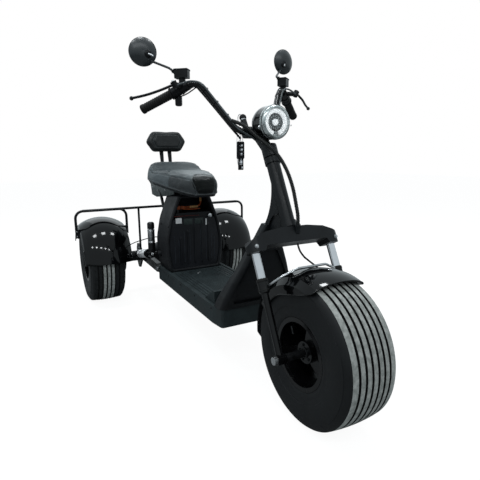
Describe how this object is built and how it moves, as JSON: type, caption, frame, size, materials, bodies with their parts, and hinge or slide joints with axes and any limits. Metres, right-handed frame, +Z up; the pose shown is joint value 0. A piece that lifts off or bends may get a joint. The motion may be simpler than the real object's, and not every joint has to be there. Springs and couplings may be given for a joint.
{
  "type": "motorized trike",
  "caption": "Step-through electric trike with one steered fat front tyre, two driven rear wheels under fenders, a wide handlebar and a padded saddle over its battery.",
  "frame": {"origin": "on the ground in the middle of the outline, midway between the axles", "axes": "+Z up, -Y the way the trike drives, +X the rider's left"},
  "size_m": [1.042, 1.9568, 1.2354],
  "materials": {
    "frame_paint": "satin",
    "gloss_plastic": "gloss",
    "moulded_plastic": "matte",
    "rubber": "matte",
    "orange_lead": "matte",
    "leather": "satin",
    "tyre": "matte",
    "rim_paint": "gloss",
    "chrome": "polished",
    "bright_steel": "brushed",
    "cast_alloy": "cast",
    "bar_paint": "gloss",
    "lens": "clear",
    "red_lens": "gloss"
  },
  "bodies": {
    "chassis": {"main_frame": "frame_paint", "apron_panel": "moulded_plastic", "footboard": "moulded_plastic", "floor_mat": "rubber", "battery_housing": "moulded_plastic", "battery_pack": "moulded_plastic", "battery_cap": "moulded_plastic", "battery_cable": "orange_lead", "seat_pan": "frame_paint", "seat_cushion": "leather", "backrest_posts": "frame_paint", "backrest_pad": "leather", "swingarm": "frame_paint", "rear_axle_housing": "frame_paint", "drive_motor": "cast_alloy", "shock_absorbers": "bright_steel", "shock_springs": "bright_steel", "rear_fender_right": "gloss_plastic", "rear_fender_left": "gloss_plastic", "fender_rail": "frame_paint", "tail_lamp": "red_lens", "rear_brake_cable": "rubber"},
    "steering": {"fork_crown": "frame_paint", "stanchions": "chrome", "fork_sliders": "rim_paint", "front_axle": "chrome", "front_fender": "gloss_plastic", "front_mudflap": "moulded_plastic", "fender_brace": "bright_steel", "brake_caliper": "cast_alloy", "handlebar_stem": "frame_paint", "handlebar": "bar_paint", "grips": "rubber", "hand_controls": "moulded_plastic", "brake_levers": "bright_steel", "mirrors": "gloss_plastic", "headlamp_shell": "gloss_plastic", "headlamp_lens": "lens", "wiring_conduit": "rubber", "brake_hose": "rubber", "key_set": "chrome"},
    "front_wheel": {"front_tyre": "tyre", "front_rim": "rim_paint", "brake_disc": "bright_steel"},
    "rear_wheel_right": {"rear_tyre_right": "tyre", "rear_rim_right": "rim_paint"},
    "rear_wheel_left": {"rear_tyre_left": "tyre", "rear_rim_left": "rim_paint"}
  },
  "joints": [
    {"name": "steering_turn", "type": "hinge", "parent": "chassis", "child": "steering", "pos_m": [0, -0.75, 0.2285], "axis": [0, 0.4462, 0.8949], "range_deg": [-37, 37]},
    {"name": "front_wheel_spin", "type": "hinge", "parent": "steering", "child": "front_wheel", "pos_m": [0, -0.75, 0.2285], "axis": [1, 0, 0], "continuous": true},
    {"name": "rear_wheel_right_spin", "type": "hinge", "parent": "chassis", "child": "rear_wheel_right", "pos_m": [-0.388, 0.75, 0.2285], "axis": [1, 0, 0], "continuous": true},
    {"name": "rear_wheel_left_spin", "type": "hinge", "parent": "chassis", "child": "rear_wheel_left", "pos_m": [0.388, 0.75, 0.2285], "axis": [1, 0, 0], "continuous": true}
  ]
}
